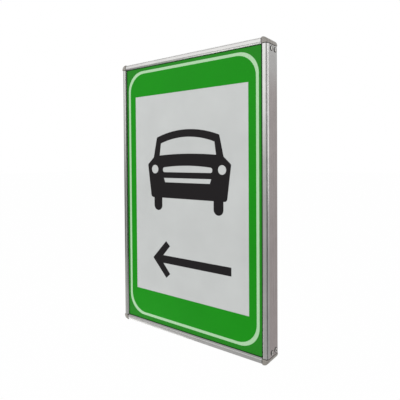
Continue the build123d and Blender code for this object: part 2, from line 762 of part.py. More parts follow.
def terminal_block():
    """Three-pole block with a wire way and a screw well for each pole"""
    low_y = at_depth(REFLECTOR_DEPTH - TERMINAL_T)
    half_l = TERMINAL_LENGTH / 2
    half_h = TERMINAL_HEIGHT / 2
    body = block(
        (TERMINAL_X - half_l, low_y, TERMINAL_Z - half_h),
        (TERMINAL_X + half_l, at_depth(REFLECTOR_DEPTH), TERMINAL_Z + half_h),
    )
    for number in range(POLE_COUNT):
        well = Box(POLE_WELL, TERMINAL_T, POLE_WELL)
        wire_way = Box(POLE_WIRE_WAY, POLE_WIRE_WAY, 2 * TERMINAL_HEIGHT)
        body -= Pos(pole_x(number), low_y, TERMINAL_Z) * well
        body -= Pos(pole_x(number), wire_way_y(), TERMINAL_Z) * wire_way
    return body


def pole_x(number):
    """Middle of one pole of the terminal block"""
    return TERMINAL_X + (number - (POLE_COUNT - 1) / 2) * POLE_PITCH


def wire_way_y():
    """Middle of the wire ways, from front to back"""
    return at_depth(REFLECTOR_DEPTH - WIRE_WAY_BACK)


def bent_wire(points, bend_r):
    """Wire along straight runs joined by arcs"""
    path = FilletPolyline(*points, radius=bend_r)
    section = Plane(origin=path @ 0, z_dir=path % 0) * RegularPolygon(WIRE_R, WIRE_SIDES)
    return sweep(section, path=path)


def exit_z(number):
    """Height at which a wire leaves a driver cap"""
    return DRIVER_Z + DRIVER_HEIGHT / 2 - WIRE_DROP * (number + 1)


def supply_wire(number):
    """Wire from the driver's right cap up along the ends of the bars"""
    start_x = DRIVER_X + DRIVER_LENGTH / 2 + DRIVER_CAP_T
    wire_y = at_depth(BAR_DEPTH) - WIRE_R
    return bent_wire([
        (start_x, wire_y, exit_z(number)),
        (WIRE_XS[number], wire_y, exit_z(number)),
        (WIRE_XS[number], wire_y, BAR_Z[0]),
    ], WIRE_BEND_R)


def input_wire(number):
    """Wire from the driver's left cap into an outer pole of the terminal block"""
    start_x = DRIVER_X - DRIVER_LENGTH / 2 - DRIVER_CAP_T
    end_x = pole_x((POLE_COUNT - 1) * number)
    end_z = TERMINAL_Z + TERMINAL_HEIGHT / 2 - LEAD_DEPTH_IN_BLOCK
    return bent_wire([
        (start_x, wire_way_y(), exit_z(number)),
        (end_x, wire_way_y(), exit_z(number)),
        (end_x, wire_way_y(), end_z),
    ], LEAD_BEND_R)


# Cable gland

def gland_place():
    """Axis of the gland: Z points out of the bottom rail, from its outer face"""
    bottom_face = -SIGN_HEIGHT / 2 + CAP_PROUD
    return Pos(GLAND_X, at_depth(GLAND_DEPTH), bottom_face) * Rot(180, 0, 0)


def hexagon(low, high):
    """Hexagon across the gland's flats between two heights"""
    return prism(HEX_SIDES, GLAND_FLATS / 2, low, high)


def rod(radius, low, high):
    """Many-sided rod on the gland's axis between two heights"""
    return prism(GLAND_SIDES, radius, low, high)


def gland_pieces():
    """Body, washer, locknut, dome nut and rubber seal"""
    hex_top = GLAND_WASHER_T + GLAND_HEX_H
    stem_top = hex_top + GLAND_STEM_H
    seal_high = stem_top + SEAL_RUBBER_H
    dome_low = hex_top + GLAND_NUT_HEX_H
    nut_top = hex_top + GLAND_NUT_H

    body = hexagon(GLAND_WASHER_T, hex_top)
    body += rod(GLAND_THREAD_R, -RAIL_WALL - GLAND_STEM_IN, GLAND_WASHER_T)
    body += rod(GLAND_STEM_R, hex_top, stem_top)
    body -= rod(GLAND_BORE_R, -SIGN_DEPTH, SIGN_DEPTH)

    washer = rod(GLAND_WASHER_R, 0, GLAND_WASHER_T)
    washer -= rod(GLAND_THREAD_R + HOLE_PLAY, 0, GLAND_WASHER_T)

    locknut = hexagon(-RAIL_WALL - GLAND_LOCKNUT_T, -RAIL_WALL)
    locknut -= rod(GLAND_THREAD_R + HOLE_PLAY, -SIGN_DEPTH, SIGN_DEPTH)

    dome_base = RegularPolygon(GLAND_FLATS / 2, HEX_SIDES, major_radius=False)
    dome = extrude(dome_base, amount=nut_top - dome_low, taper=GLAND_DOME_TAPER)
    nut = hexagon(hex_top, dome_low) + Pos(0, 0, dome_low) * dome
    nut -= rod(GLAND_STEM_R + HOLE_PLAY, hex_top, stem_top)
    nut -= rod(SEAL_RUBBER_R + HOLE_PLAY, stem_top, seal_high)
    nut -= rod(GLAND_EXIT_R, seal_high, nut_top)

    cable_bore = Pos(0, 0, (stem_top + seal_high) / 2) * Cylinder(CABLE_R, SEAL_RUBBER_H)
    pieces = {
        "gland_body": body,
        "gland_washer": washer,
        "gland_locknut": locknut,
        "gland_nut": nut,
        "gland_seal": rod(SEAL_RUBBER_R, stem_top, seal_high) - cable_bore,
    }
    return {name: gland_place() * piece for name, piece in pieces.items()}


def build():
    """All nodes by name"""
    nodes = {}
    for side in SIDES:
        nodes[f"frame_rail_{side}"] = frame_rail(side)
        nodes[f"snap_rail_{side}"] = snap_rail(side)
        nodes[f"snap_springs_{side}"] = snap_springs(side)
    for corner in CORNERS:
        nodes[f"corner_cap_{corner}"] = corner_cap(corner)
    nodes["corner_screws"] = group([
        place * screw(CORNER_SCREW) for side in SIDES for place in corner_screw_places(side)
    ])
    nodes["face_panel"] = face_panel()
    nodes["face_gasket"] = face_gasket()
    nodes["green_film"] = green_film()
    nodes["car_film"] = film(car_outline())
    nodes["arrow_film"] = film(arrow_outline())
    nodes["back_seal"] = back_seal()
    nodes["back_plate"] = back_plate()
    nodes["back_plate_screws"] = group([place * screw(PLATE_SCREW) for place in plate_screw_places()])
    nodes["mount_bar_upper"] = mount_bar(1)
    nodes["mount_bar_lower"] = mount_bar(-1)
    nodes["mount_nuts"] = mount_nuts()
    nodes["mount_rivets"] = mount_rivets()
    nodes["reflector_sheet"] = reflector_sheet()
    for number, z in enumerate(BAR_Z):
        nodes[f"led_bar_{number + 1}"] = led_bar(z)
    nodes["led_lenses"] = led_lenses()
    nodes["driver_screws"] = group([place * screw(DRIVER_SCREW) for place in driver_screw_places()])
    nodes["driver_case"] = driver_case()
    nodes["driver_cap_left"] = driver_cap(-1)
    nodes["driver_cap_right"] = driver_cap(1)
    nodes["terminal_block"] = terminal_block()
    nodes["supply_wire_plus"] = supply_wire(0)
    nodes["supply_wire_minus"] = supply_wire(1)
    nodes["input_wire_live"] = input_wire(0)
    nodes["input_wire_neutral"] = input_wire(1)
    nodes.update(gland_pieces())
    return nodes


os.makedirs("parts", exist_ok=True)
for node_name, node_shape in build().items():
    export_step(node_shape, f"parts/{node_name}.step")
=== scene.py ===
import json
import math

import bmesh
import bpy
from mathutils import Matrix, Vector


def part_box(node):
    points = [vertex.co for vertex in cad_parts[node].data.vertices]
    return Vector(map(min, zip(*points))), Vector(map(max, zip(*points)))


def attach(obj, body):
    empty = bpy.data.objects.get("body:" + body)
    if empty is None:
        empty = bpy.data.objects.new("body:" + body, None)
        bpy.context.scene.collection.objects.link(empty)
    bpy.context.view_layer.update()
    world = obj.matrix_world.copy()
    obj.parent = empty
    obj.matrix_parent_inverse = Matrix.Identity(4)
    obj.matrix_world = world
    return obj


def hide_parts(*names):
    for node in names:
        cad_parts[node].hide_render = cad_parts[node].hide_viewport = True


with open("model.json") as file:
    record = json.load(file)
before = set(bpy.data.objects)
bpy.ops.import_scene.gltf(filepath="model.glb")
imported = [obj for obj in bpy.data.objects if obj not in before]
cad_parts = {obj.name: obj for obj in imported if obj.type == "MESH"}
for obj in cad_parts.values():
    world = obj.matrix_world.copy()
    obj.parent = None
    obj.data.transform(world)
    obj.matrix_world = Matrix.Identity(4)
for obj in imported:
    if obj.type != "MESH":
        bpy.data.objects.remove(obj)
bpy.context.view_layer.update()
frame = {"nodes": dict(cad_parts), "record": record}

# Sizes are metres. The outline comes from the frame; X right, Z up, and the face looks along -Y.
CAP_LOW, CAP_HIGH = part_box("corner_cap_top_right")
HALF_WIDTH = CAP_HIGH.x
HALF_HEIGHT = CAP_HIGH.z
FRONT_Y = CAP_LOW.y
DEPTH = CAP_HIGH.y - CAP_LOW.y

# Camera, fitted to the frame's edges: place, angles in degrees, focal length and optical centre in pixels
IMAGE_SIZE = 400
CAMERA_PLACE = (0.6881, FRONT_Y - 0.8808, 0.1064)
CAMERA_YAW = 37.98
CAMERA_DOWN = 1.21
CAMERA_ROLL = -0.415
FOCAL_PIXELS = 402.3
OPTICAL_CENTRE = (185.45, 167.44)
SENSOR_WIDTH = 36.0

# Section of the frame rails: distance inwards from the caps' faces, and depth from the front
RAIL_FACE = 0.0005
WALL_IN = 0.0023
BACK_CHAMFER = 0.0008
SHOULDER_R = 0.043
SHOULDER_DEPTH = 0.0130
RIDGE_TIP_DEPTH = 0.0038
SLOT_OUT = 0.0019
SLOT_IN = 0.0026
SLOT_DEPTH = 0.0056
SLOT_WALL = 0.0012
LEDGE_REACH = 0.014
LEDGE_T = 0.0015
FRONT_LEDGE_DEPTH = 0.0101
FRONT_LEDGE_BACK = FRONT_LEDGE_DEPTH + LEDGE_T
REAR_LEDGE_DEPTH = 0.0475
REAR_LEDGE_BACK = REAR_LEDGE_DEPTH + LEDGE_T
HINGE_IN = 0.0055
HINGE_DEPTH = 0.0022
SOCKET_R = 0.0020
SOCKET_WALL = 0.0010
HOOK_RISE = 0.0004
RIM_DROP = 0.0001

# Section of the snap rails
BEAD_R = 0.0019
LIP_CREST_IN = 0.01145
LIP_R = 0.060
LIP_T = 0.0013
LIP_EDGE_IN = 0.0165
LIP_EDGE_DEPTH = 0.0041
BROW_IN = 0.0134
BEND_IN = 0.0129
FOOT_IN = 0.0152
FOOT_DEPTH = 0.0044
TIP_R = 0.0003
BROW_R = 0.0012

# Open joints at both ends of a frame rail and of a snap rail
RAIL_JOINT = 0.0013
LIP_JOINT = 0.0004

# Corner caps
CAP_SIZE = 0.0155
CAP_CORNER_R = 0.014
CAP_POCKET_R = 0.0116
CAP_EDGE_R = 0.0034
CAP_JOINT_BEVEL = 0.0007
CAP_BACK_WALL = 0.0024
PANEL_POCKET = 0.009
PANEL_POCKET_DEPTH = 0.0046
LEG_IN = 0.0024
LEG_T = 0.006
LEG_LENGTH = 0.036
LEG_PLAY = 0.0002
FORK_LENGTH = 0.030
FORK_WIDTH = 0.009

# Screws on the rails' sides, each on a dark rubber ring that paints the shade round its head, and on the
# back plate
SIDE_SCREW = {"head_r": 0.0053, "head_h": 0.0022, "shank_r": 0.0020, "length": 0.008}
SIDE_SCREW_FROM_END = 0.026
SIDE_SCREW_DEPTHS = (0.024, 0.044)
SIDE_SHADE_RING_R = 0.0062
SIDE_SHADE_RING_T = 0.0012
PLATE_SCREW = {"head_r": 0.0035, "head_h": 0.0020, "shank_r": 0.0015, "length": 0.007}
PLATE_SCREW_IN = 0.0112
PLATE_SCREW_RISE = 0.320
PLATE_FRONT = 0.050
PLATE_BACK = 0.0515

# Softened edge of a flat ring, as a share of its thickness
RING_SOFTNESS = 0.25

# Form of a screw, as shares of its head's or shank's size; a smaller power makes the head's dome fuller
HEAD_RIM_SHARE = 0.4
HEAD_DOME_POWER = 0.6
POINT_R_SHARE = 0.55
POINT_LENGTH_SHARE = 0.9
RECESS_FLOOR_REACH = 0.24
RECESS_TOP_REACH = 0.66
RECESS_HALF_WIDTH = 0.20
RECESS_FLOOR = 0.25
RECESS_TOP = 1.2

# Turn of a screw in degrees, times a number that jumps about from one screw to the next
SCREW_TURN = 37.0
SCREW_JUMP = 5
SCREW_CYCLE = 7

# Rivets of the mounting bars
RIVET_X = (-0.200, 0.0, 0.200)
RIVET_Z = 0.250
RIVET_R = 0.0020
RIVET_HEAD_R = 0.0040
RIVET_HEAD_H = 0.0013

# Cable gland: heights are measured down from the bottom rail's face
GLAND_PLACE = (-0.118, FRONT_Y + 0.038, -HALF_HEIGHT + RAIL_FACE)
GLAND_FLATS = 0.015
GLAND_THREAD_R = 0.0060
GLAND_BORE_R = 0.0040
GLAND_STEM_IN = 0.0108
GLAND_STEM_R = 0.0054
GLAND_WASHER_R = 0.0080
GLAND_WASHER_T = 0.0008
GLAND_HEX_TOP = 0.0040
GLAND_STEM_TOP = 0.0070
GLAND_DOME_LOW = 0.0094
GLAND_SEAL_HIGH = 0.0114
GLAND_TOP = 0.0126
GLAND_DOME_TOP_R = 0.0046
GLAND_EXIT_R = 0.0036
GLAND_SEAL_R = 0.0044
CABLE_R = 0.0031
THREAD_PITCH = 0.0015
THREAD_DEPTH = 0.0005
GLAND_SOFT = 0.0004
GLAND_PLAY = 0.00008

# Sides: turn about Y from the right side, and distance from the middle to the caps' faces
SIDES = {
    "right": (0, HALF_WIDTH),
    "top": (90, HALF_HEIGHT),
    "left": (180, HALF_WIDTH),
    "bottom": (270, HALF_HEIGHT),
}
UPRIGHT_SIDES = ("right", "left")

# Corners: turn about Y from the top right corner, and signs of X and Z
CORNERS = {
    "top_right": (0, 1, 1),
    "top_left": (90, -1, 1),
    "bottom_left": (180, -1, -1),
    "bottom_right": (270, 1, -1),
}

# Faces that meet at less than this, in degrees, are shaded smooth
SMOOTH_ANGLE = 32.0
CAP_SMOOTH_ANGLE = 30.0

# Areas of the face outside which the films change tone: round the white field, inside the middle of the
# border line, and inside the painted shadow that the snap rails' lips cast on the film along their edges
# Width of the painted shadow of the lips on the green film
LIP_SHADOW_WIDTH = 0.0016
AREA_SOFTNESS = 0.001
FIELD_AREA = {"half": (0.206, 0.330), "r": 0.005}
LINE_AREA = {"half": (0.2211, 0.3675), "r": 0.0565}
UNSHADOWED_AREA = {
    "half": (HALF_WIDTH - LIP_EDGE_IN - LIP_SHADOW_WIDTH, HALF_HEIGHT - LIP_EDGE_IN - LIP_SHADOW_WIDTH),
    "r": 0.003,
}

# Colours, linear
WHITE = (1.0, 1.0, 1.0)
ALUMINIUM = (0.335, 0.332, 0.325)
PLATE_METAL = (0.55, 0.56, 0.56)
SPRING_STEEL = (0.45, 0.45, 0.47)
SCREW_STEEL = (0.42, 0.41, 0.39)
CAP_GREY = (0.25, 0.232, 0.208)
PANEL_WHITE = (0.53, 0.545, 0.538)
# Painted green light from the film, on the bare panel's narrow border line
GREEN_SPILL_TINT = (0.395, 0.625, 0.375)
SIGN_GREEN = (0.008, 0.252, 0.006)
# Painted shade: the green film darker and duller outside the border line, towards the rails
SHADED_OUTER_GREEN = (0.016, 0.218, 0.012)
# Painted shadow that the snap rails' lips cast on the green film along their edges
LIP_SHADOW_GREEN = (0.003, 0.025, 0.003)
SIGN_BLACK = (0.012, 0.0105, 0.0115)
FOAM_BLACK = (0.03, 0.03, 0.03)
REFLECTOR_WHITE = (0.80, 0.80, 0.79)
BOARD_WHITE = (0.74, 0.76, 0.74)
LENS_TONES = ((0.88, 0.91, 0.91), (0.94, 0.96, 0.96))
PLASTIC_BLACK = (0.022, 0.022, 0.023)
IVORY = (0.66, 0.63, 0.54)
WIRE_COLORS = {
    "wire_red": (0.45, 0.02, 0.02),
    "wire_black": (0.02, 0.02, 0.02),
    "wire_brown": (0.16, 0.07, 0.03),
    "wire_blue": (0.03, 0.10, 0.40),
}

# Stretch of the noise that draws lines along a rail, by the rail's direction
DRAW_LINES = {"X": (0.004, 1.0, 1.0), "Z": (1.0, 1.0, 0.004)}

# Middle range of a noise, over which tone and roughness change
NOISE_LOW = 0.3
NOISE_HIGH = 0.7

# Painted shade in recesses: openness where it is black and where it ends, and how much of it shows
RECESS_SHADE_LOW = 0.45
RECESS_SHADE_HIGH = 0.85
RECESS_SHADE_SHARE = 0.9

# Lenses of the lights
LENS_CLEARNESS = 0.9
ACRYLIC_IOR = 1.49

# Floor, and even light from all round
FLOOR_Z = -0.95
FLOOR_SIZE = 60.0
FLOOR_PALE = (0.85, 0.85, 0.85)
FLOOR_WHITE_SHARE = 0.985
ROOM_LIGHT = 0.66

# Lamps and reflection cards that face the sign. Each stands at an azimuth from the front towards +X and an
# elevation, both in degrees, and a distance; size is width and height, and power is in watts.
LAMPS = {
    "key": {"at": (-5, 24, 3.2), "size": (6.0, 2.0), "power": 56.0},
    "rim": {"at": (125, 13, 2.8), "size": (0.7, 1.8), "power": 11.0},
    "low": {"at": (-87, -55, 1.0), "size": (0.9, 0.46), "power": 3.0},
}
CARDS = {
    "card_right": {"at": (58, 0, 2.0), "size": (1.0, 2.4), "tone": (0.0, 0.10, 0.0)},
    "card_left": {"at": (-62, -8, 2.5), "size": (1.7, 0.9), "tone": (0.38, 0.38, 0.38)},
    "card_back": {"at": (161, -10, 1.15), "size": (1.2, 1.5), "tone": (0.72, 0.635, 0.635)},
}


# Node helpers

def feed(tree, socket, value):
    """Input set to a value, or linked where the value is an output"""
    if isinstance(value, bpy.types.NodeSocket):
        tree.links.new(value, socket)
    else:
        socket.default_value = value


def add_node(tree, kind, settings=None, **inputs):
    """Shader node with its settings and its inputs by name"""
    made = tree.nodes.new("ShaderNode" + kind)
    for name, value in (settings or {}).items():
        setattr(made, name, value)
    for name, value in inputs.items():
        feed(tree, made.inputs[name.replace("_", " ")], value)
    return made


def arithmetic(tree, kind, operation, *values):
    """Math or VectorMath node with its inputs in order"""
    made = add_node(tree, kind, {"operation": operation})
    for socket, value in zip(made.inputs, values):
        feed(tree, socket, value)
    return made


def opaque(color):
    """Colour with full alpha, as sockets take it"""
    return (*color, 1.0)


def new_material(name, roughness, metallic=0.0):
    """Material with a principled shader; returns the material, its tree and the shader"""
    material = bpy.data.materials.new(name)
    material.use_nodes = True
    tree = material.node_tree
    shader = tree.nodes["Principled BSDF"]
    shader.inputs["Roughness"].default_value = roughness
    shader.inputs["Metallic"].default_value = metallic
    return material, tree, shader


def noise(tree, scale, detail, stretch=(1.0, 1.0, 1.0)):
    """Noise in the object's own metres, finer with a larger scale and stretched by axis"""
    place = add_node(tree, "TexCoord")
    sized = add_node(tree, "Mapping", Vector=place.outputs["Object"], Scale=stretch)
    made = add_node(tree, "TexNoise", Vector=sized.outputs["Vector"], Scale=scale, Detail=detail)
    return made.outputs["Fac"]


def tones(tree, shader, factor, low, high):
    """Base colour between two tones"""
    ramp = add_node(tree, "ValToRGB", Fac=factor)
    for stop, place, tone in zip(ramp.color_ramp.elements, (NOISE_LOW, NOISE_HIGH), (low, high)):
        stop.position = place
        stop.color = opaque(tone)
    tree.links.new(ramp.outputs["Color"], shader.inputs["Base Color"])


def shades(tree, shader, factor, color, darkest, lightest):
    """Base colour between two shades of one colour"""
    low, high = [tuple(channel * share for channel in color) for share in (darkest, lightest)]
    tones(tree, shader, factor, low, high)


def vary_roughness(tree, shader, factor, less, more):
    """Roughness that varies about the shader's own value"""
    socket = shader.inputs["Roughness"]
    middle = socket.default_value
    spread = add_node(tree, "MapRange", Value=factor, From_Min=NOISE_LOW, From_Max=NOISE_HIGH,
                      To_Min=middle - less, To_Max=middle + more)
    tree.links.new(spread.outputs["Result"], socket)


def relief(tree, shader, height, depth, strength):
    """Fine relief of a surface, with its depth in metres"""
    made = add_node(tree, "Bump", Height=height, Distance=depth, Strength=strength)
    tree.links.new(made.outputs["Normal"], shader.inputs["Normal"])


def overlay(tree, shader, factor, color, blend="MIX"):
    """Base colour that another one is laid over by a factor"""
    base = shader.inputs["Base Color"]
    below = base.links[0].from_socket
    mixed = add_node(tree, "MixRGB", {"blend_type": blend}, Fac=factor, Color1=below, Color2=color)
    tree.links.new(mixed.outputs["Color"], base)


def painted_recess_shade(tree, shader, reach, own_shape):
    """Painted shade in recesses up to a reach in metres, of the piece's own shape or against others too"""
    hollow = add_node(tree, "AmbientOcclusion", {"only_local": own_shape}, Distance=reach)
    dark = add_node(tree, "ValToRGB", Fac=hollow.outputs["AO"])
    for stop, place in zip(dark.color_ramp.elements, (RECESS_SHADE_LOW, RECESS_SHADE_HIGH)):
        stop.position = place
    overlay(tree, shader, RECESS_SHADE_SHARE, dark.outputs["Color"], "MULTIPLY")


def beyond(tree, area):
    """0 inside a rounded rectangle on the face and 1 outside, over a soft edge inwards"""
    core = (area["half"][0] - area["r"], 0.0, area["half"][1] - area["r"])
    place = add_node(tree, "TexCoord").outputs["Object"]
    folded = arithmetic(tree, "VectorMath", "ABSOLUTE", place).outputs["Vector"]
    past = arithmetic(tree, "VectorMath", "SUBTRACT", folded, core).outputs["Vector"]
    past = arithmetic(tree, "VectorMath", "MAXIMUM", past, (0.0, 0.0, 0.0)).outputs["Vector"]
    across = arithmetic(tree, "VectorMath", "MULTIPLY", past, (1.0, 0.0, 1.0)).outputs["Vector"]
    distance = arithmetic(tree, "VectorMath", "LENGTH", across).outputs["Value"]
    inner = area["r"] - AREA_SOFTNESS
    edge = add_node(tree, "MapRange", Value=distance, From_Min=inner, From_Max=area["r"])
    return edge.outputs["Result"]


# Materials

def anodised(name, along, color):
    """Anodised extrusion: fine draw lines along the rail and a faint cloudy tone"""
    material, tree, shader = new_material(name, roughness=0.27, metallic=1.0)
    lines = noise(tree, scale=1600.0, detail=2.0, stretch=DRAW_LINES[along])
    cloud = noise(tree, scale=28.0, detail=4.0)
    shades(tree, shader, cloud, color, darkest=0.95, lightest=1.05)
    vary_roughness(tree, shader, lines, less=0.03, more=0.03)
    relief(tree, shader, lines, depth=0.00002, strength=0.12)
    return material


def moulded(name, color, roughness, grain=900.0, depth=0.00002, shade_reach=None):
    """Moulded plastic or rubber with a fine grain, and painted shade in its joints"""
    material, tree, shader = new_material(name, roughness)
    fine = noise(tree, scale=grain, detail=3.0)
    cloud = noise(tree, scale=40.0, detail=3.0)
    shades(tree, shader, cloud, color, darkest=0.92, lightest=1.08)
    # Painted shade where this piece meets others
    if shade_reach:
        painted_recess_shade(tree, shader, shade_reach, own_shape=False)
    vary_roughness(tree, shader, fine, less=0.05, more=0.07)
    relief(tree, shader, fine, depth, strength=0.5)
    return material


def bright_metal(name, color, roughness, blotches=500.0, shade_reach=None):
    """Plain rolled or plated metal with faint blotches, and painted shade in its recesses"""
    material, tree, shader = new_material(name, roughness, metallic=1.0)
    blotch = noise(tree, scale=blotches, detail=4.0)
    shades(tree, shader, blotch, color, darkest=0.88, lightest=1.1)
    # Painted shade in the recesses of the piece's own shape
    if shade_reach:
        painted_recess_shade(tree, shader, shade_reach, own_shape=True)
    vary_roughness(tree, shader, blotch, less=0.06, more=0.1)
    relief(tree, shader, blotch, depth=0.00001, strength=0.4)
    return material


def film(name, color, roughness, gloss, overlays=()):
    """Satin film or sheet with a slight orange peel, and other tones beyond some areas"""
    material, tree, shader = new_material(name, roughness)
    shader.inputs["Specular IOR Level"].default_value = gloss
    peel = noise(tree, scale=350.0, detail=2.0)
    cloud = noise(tree, scale=9.0, detail=3.0)
    shades(tree, shader, cloud, color, darkest=0.96, lightest=1.04)
    vary_roughness(tree, shader, cloud, less=0.04, more=0.04)
    relief(tree, shader, peel, depth=0.00002, strength=0.25)
    for area, tone in overlays:
        overlay(tree, shader, beyond(tree, area), opaque(tone))
    return material


def clear_lens(name):
    """Clear moulded lens"""
    material, tree, shader = new_material(name, roughness=0.08)
    shader.inputs["Transmission Weight"].default_value = LENS_CLEARNESS
    shader.inputs["IOR"].default_value = ACRYLIC_IOR
    swirl = noise(tree, scale=300.0, detail=2.0)
    tones(tree, shader, swirl, *LENS_TONES)
    relief(tree, shader, swirl, depth=0.00001, strength=0.2)
    return material


def make_materials():
    """Materials by slot, and the rails' own finish for the level sides"""
    # Painted light: green light from the film tints the bare panel where only a narrow line of it shows
    panel_green_spill = [(FIELD_AREA, GREEN_SPILL_TINT)]
    # Painted shade on the green film: darker and duller outside the border line, and a painted shadow of
    # the lips along the rails
    green_painted_shade = [(LINE_AREA, SHADED_OUTER_GREEN), (UNSHADOWED_AREA, LIP_SHADOW_GREEN)]
    made = {
        "anodised_aluminium": anodised("anodised_upright", "Z", ALUMINIUM),
        "anodised_level": anodised("anodised_level", "X", ALUMINIUM),
        # Painted shade where the caps meet the rails
        "cap_grey": moulded("cap_grey", CAP_GREY, roughness=0.42, shade_reach=0.003),
        "spring_steel": bright_metal("spring_steel", SPRING_STEEL, roughness=0.30),
        # Painted shade in the screws' recesses
        "screw_steel": bright_metal("screw_steel", SCREW_STEEL, roughness=0.28, shade_reach=0.0016),
        "opal_panel": film("opal_panel", PANEL_WHITE, roughness=0.36, gloss=0.25, overlays=panel_green_spill),
        "green_film": film("green_film", SIGN_GREEN, roughness=0.45, gloss=0.07, overlays=green_painted_shade),
        "black_film": film("black_film", SIGN_BLACK, roughness=0.45, gloss=0.06),
        "foam_rubber": moulded("foam_rubber", FOAM_BLACK, roughness=0.85, grain=1500.0, depth=0.0001),
        "plate_aluminium": bright_metal("plate_aluminium", PLATE_METAL, roughness=0.38, blotches=60.0),
        "reflector_white": moulded("reflector_white", REFLECTOR_WHITE, roughness=0.60),
        "board_white": moulded("board_white", BOARD_WHITE, roughness=0.45),
        "lens_clear": clear_lens("lens_clear"),
        "black_plastic": moulded("black_plastic", PLASTIC_BLACK, roughness=0.42),
        "ivory_plastic": moulded("ivory_plastic", IVORY, roughness=0.45),
    }
    for slot, color in WIRE_COLORS.items():
        made[slot] = moulded(slot, color, roughness=0.40)
    return made


MATERIALS = make_materials()


# Outline helpers

def arc(centre, radius, start, stop, steps):
    """Points on an arc, angles in degrees"""
    turn = (stop - start) / steps
    angles = [math.radians(start + turn * step) for step in range(steps + 1)]
    return [(centre[0] + radius * math.cos(a), centre[1] + radius * math.sin(a)) for a in angles]


def rectangle(low, high):
    """Corners of a rectangle from its lowest and highest one"""
    return [(low[0], low[1]), (high[0], low[1]), (high[0], high[1]), (low[0], high[1])]


def dome(rim_r, low, high, steps, top_r=0.0, power=1.0):
    """Points (radius, height) of a dome from its rim to its top, fuller with a smaller power"""
    turns = [math.pi / 2 * step / steps for step in range(steps + 1)]
    spread = rim_r - top_r
    rise = high - low
    return [(top_r + spread * max(math.cos(t), 0.0) ** power, low + rise * math.sin(t)) for t in turns]


def angle_of(point, centre):
    """Direction of a point from a centre, in degrees"""
    return math.degrees(math.atan2(point[1] - centre[1], point[0] - centre[0]))


def softened(corner, before, after, radius, steps=4):
    """Points that round a corner of an outline between its neighbours"""
    corner, before, after = Vector(corner), Vector(before), Vector(after)
    first = (before - corner).normalized()
    second = (after - corner).normalized()
    points = []
    for step in range(steps + 1):
        share = step / steps
        bend = corner + first * radius * (1 - share) ** 2 + second * radius * share ** 2
        points.append(tuple(bend))
    return points


def circles_meet(centre_a, r_a, centre_b, r_b):
    """Crossing of two circles that has the smaller depth"""
    a, b = Vector(centre_a), Vector(centre_b)
    apart = (b - a).length
    along = (apart ** 2 + r_a ** 2 - r_b ** 2) / (2 * apart)
    across = math.sqrt(max(r_a ** 2 - along ** 2, 0.0))
    direction = (b - a) / apart
    normal = Vector((-direction.y, direction.x))
    crossings = [a + direction * along + normal * across * sign for sign in (1, -1)]
    return min(crossings, key=lambda point: point.y)


# Mesh helpers

def loop(mesh, ring_a, ring_b):
    """Quads between two rings of as many points"""
    count = len(ring_a)
    for k in range(count):
        following = (k + 1) % count
        mesh.faces.new((ring_a[k], ring_a[following], ring_b[following], ring_b[k]))


def faced_out(mesh):
    """The mesh, with its faces turned outwards"""
    bmesh.ops.recalc_face_normals(mesh, faces=mesh.faces)
    return mesh


def closed(mesh, rings):
    """The mesh, with faces between its rings of points and across both ends"""
    for first, second in zip(rings, rings[1:]):
        loop(mesh, first, second)
    mesh.faces.new(rings[0])
    mesh.faces.new(rings[-1])
    return faced_out(mesh)


def prism(outline, low, high):
    """Closed mesh of an outline in X and Y, drawn out along Z"""
    mesh = bmesh.new()
    return closed(mesh, [[mesh.verts.new((x, y, z)) for x, y in outline] for z in (low, high)])


def box_mesh(low, high):
    """Box by its corners"""
    return prism(rectangle(low, high), low[2], high[2])


def stack(levels):
    """Closed mesh through outlines in X and Z, given as (Y, outline) from the front to the back"""
    mesh = bmesh.new()
    return closed(mesh, [[mesh.verts.new((x, y, z)) for x, z in outline] for y, outline in levels])


def turned(mesh, profile, segments):
    """Rings of points about Z, one for each (radius, height)"""
    turns = [2 * math.pi * k / segments for k in range(segments)]
    return [[mesh.verts.new((r * math.cos(t), r * math.sin(t), z)) for t in turns] for r, z in profile]


def ring(profile, segments=40):
    """Closed mesh turned about Z from a closed loop of (radius, height) points"""
    mesh = bmesh.new()
    rings = turned(mesh, profile, segments)
    for lower, upper in zip(rings, rings[1:] + rings[:1]):
        loop(mesh, lower, upper)
    return faced_out(mesh)


def rounded_ring(inner_r, outer_r, low, high, soft):
    """Flat ring between two heights with softened outer edges"""
    return ring([
        (inner_r, low), (outer_r - soft, low), (outer_r, low + soft),
        (outer_r, high - soft), (outer_r - soft, high), (inner_r, high),
    ])


def lathe(profile, segments=40):
    """Closed mesh turned about Z from (radius, height) points that start and end on the axis"""
    mesh = bmesh.new()
    bottom = mesh.verts.new((0, 0, profile[0][1]))
    top = mesh.verts.new((0, 0, profile[-1][1]))
    rings = turned(mesh, profile[1:-1], segments)
    for lower, upper in zip(rings, rings[1:]):
        loop(mesh, lower, upper)
    for k in range(segments):
        following = (k + 1) % segments
        mesh.faces.new((bottom, rings[0][following], rings[0][k]))
        mesh.faces.new((top, rings[-1][k], rings[-1][following]))
    return faced_out(mesh)


def mesh_data(name, mesh):
    """Blender's own mesh from a finished one, which is freed"""
    data = bpy.data.meshes.new(name)
    mesh.to_mesh(data)
    mesh.free()
    return data


def new_object(name, data):
    """Object in the scene"""
    made = bpy.data.objects.new(name, data)
    bpy.context.scene.collection.objects.link(made)
    return made


def merge(meshes):
    """One mesh from several, each with its places"""
    merged = bmesh.new()
    for mesh, places in meshes:
        data = mesh_data("part", mesh)
        for place in places:
            copy = data.copy()
            copy.transform(place)
            merged.from_mesh(copy)
            bpy.data.meshes.remove(copy)
        bpy.data.meshes.remove(data)
    return merged


